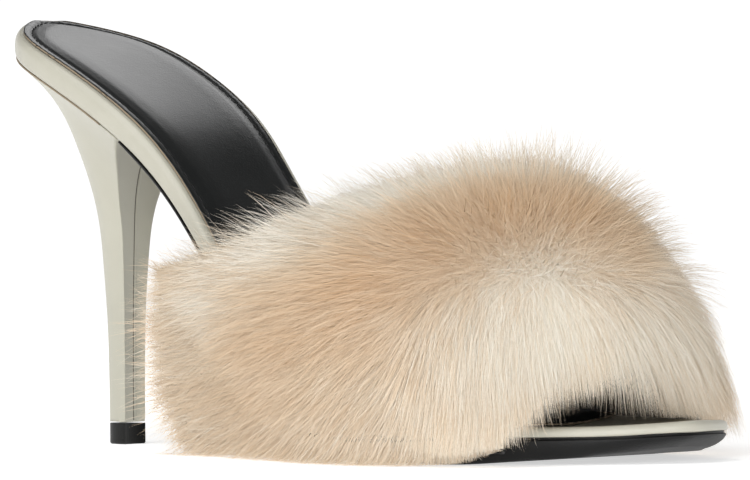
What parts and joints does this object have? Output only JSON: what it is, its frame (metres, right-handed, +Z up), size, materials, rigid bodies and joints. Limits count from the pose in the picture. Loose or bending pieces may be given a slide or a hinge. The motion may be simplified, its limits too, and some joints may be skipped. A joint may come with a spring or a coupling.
{
  "type": "open-toe high heel",
  "caption": "Right-foot open-toe mule with a deep fur band over the forefoot, a leather footbed and a slim covered stiletto heel.",
  "frame": {"origin": "centre of the heel tip's face on the floor", "axes": "+Z up, +X from the heel towards the toe, +Y towards the inner side of the right foot"},
  "size_m": [0.2143, 0.1052, 0.1054],
  "materials": {
    "sole_leather": "smooth black sole leather, low gloss",
    "cream_leather": "smooth cream nappa with a soft gloss",
    "insock_leather": "fine-grained black leather, satin",
    "fur": "deep soft fur, cream white with beige bands",
    "top_piece": "hard black top piece, glossy"
  },
  "bodies": {
    "root": {"outsole": "sole_leather", "footbed": "cream_leather", "insock": "insock_leather", "upper_band": "fur", "heel": "cream_leather", "heel_tip": "top_piece"}
  },
  "joints": []
}
